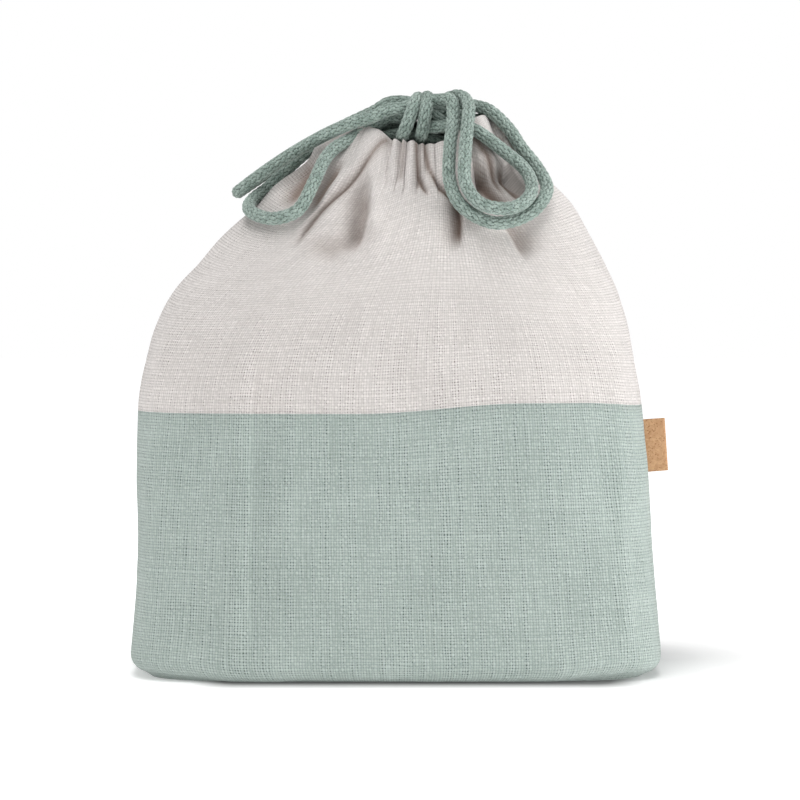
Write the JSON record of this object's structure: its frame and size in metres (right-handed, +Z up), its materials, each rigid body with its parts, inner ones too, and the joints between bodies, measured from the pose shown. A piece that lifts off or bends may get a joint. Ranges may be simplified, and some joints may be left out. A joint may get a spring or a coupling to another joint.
{
  "type": "drawstring lunch bag",
  "caption": "Two-tone linen drawstring pouch for a lunch box, gathered at the mouth by braided cords tied in a bow, with a cork side label.",
  "frame": {"origin": "middle of the base, on the surface that the bag stands on", "axes": "+X to the right seen from the front, where the cork label is, +Y to the back, +Z up to the bow"},
  "size_m": [0.2127, 0.1044, 0.23],
  "materials": {
    "natural_linen": "slubby undyed plain weave",
    "sage_linen": "slubby sage green plain weave",
    "sage_cord": "round braided cotton cord",
    "cork": "flecked natural cork"
  },
  "bodies": {
    "bag": {"front_upper_panel": "natural_linen", "back_upper_panel": "natural_linen", "front_lower_panel": "sage_linen", "back_lower_panel": "sage_linen", "front_casing": "natural_linen", "back_casing": "natural_linen", "base_seam": "sage_linen", "left_corner_seam": "sage_linen", "right_corner_seam": "sage_linen", "left_side_seam": "sage_linen", "right_side_seam": "sage_linen", "front_waist_seam": "sage_linen", "back_waist_seam": "sage_linen", "left_cord_casing_run": "sage_cord", "right_cord_casing_run": "sage_cord", "bow_knot": "sage_cord"},
    "left_ear": {"left_ear_long_loop": "sage_cord", "left_ear_wide_loop": "sage_cord"},
    "right_ear": {"right_ear_outer_loop": "sage_cord", "right_ear_inner_loop": "sage_cord"},
    "left_tail": {"left_tail_upper_strand": "sage_cord", "left_tail_lower_strand": "sage_cord", "left_end_knot": "sage_cord"},
    "right_tail": {"right_tail_upper_strand": "sage_cord", "right_tail_lower_strand": "sage_cord", "right_end_knot": "sage_cord"},
    "label": {"cork_label": "cork"}
  },
  "joints": [
    {"name": "left_ear_lift", "type": "hinge", "parent": "bag", "child": "left_ear", "pos_m": [0.0027, -0.005, 0.2285], "axis": [0, 1, 0], "range_deg": [0, 70]},
    {"name": "right_ear_lift", "type": "hinge", "parent": "bag", "child": "right_ear", "pos_m": [0.0143, -0.005, 0.2285], "axis": [0, -1, 0], "range_deg": [0, 70]},
    {"name": "left_tail_swing", "type": "hinge", "parent": "bag", "child": "left_tail", "pos_m": [0.0056, 0.0043, 0.2252], "axis": [1, 0, 0], "range_deg": [0, 60]},
    {"name": "right_tail_swing", "type": "hinge", "parent": "bag", "child": "right_tail", "pos_m": [0.0114, 0.0043, 0.2252], "axis": [1, 0, 0], "range_deg": [0, 60]},
    {"name": "label_flap", "type": "hinge", "parent": "bag", "child": "label", "pos_m": [0.0997, 0, 0.0885], "axis": [-0.0719, 0, 0.9974], "range_deg": [-75, 75], "stiffness_Nm_per_rad": 0.0005}
  ]
}
